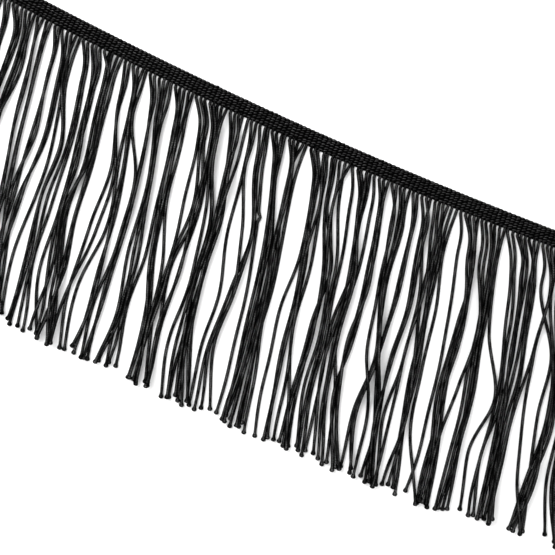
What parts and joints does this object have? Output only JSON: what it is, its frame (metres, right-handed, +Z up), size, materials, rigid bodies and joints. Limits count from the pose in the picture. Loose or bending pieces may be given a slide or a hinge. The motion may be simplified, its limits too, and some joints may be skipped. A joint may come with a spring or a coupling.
{
  "type": "tassel fringe trim",
  "caption": "Cut length of black tassel fringe: a narrow knitted heading tape with a long fringe of corded strands, each ending in a sealed ball, lying flat.",
  "frame": {"origin": "centre of the trim's footprint, on the flat surface it lies on", "axes": "+X along the heading, +Y towards the heading's free edge, +Z up out of the surface"},
  "size_m": [0.4304, 0.172, 0.0089],
  "materials": {
    "heading": "matte knitted yarn",
    "fringe": "softly glossy knitted cord"
  },
  "bodies": {
    "root": {"heading": "heading", "fringe": "fringe"}
  },
  "joints": []
}
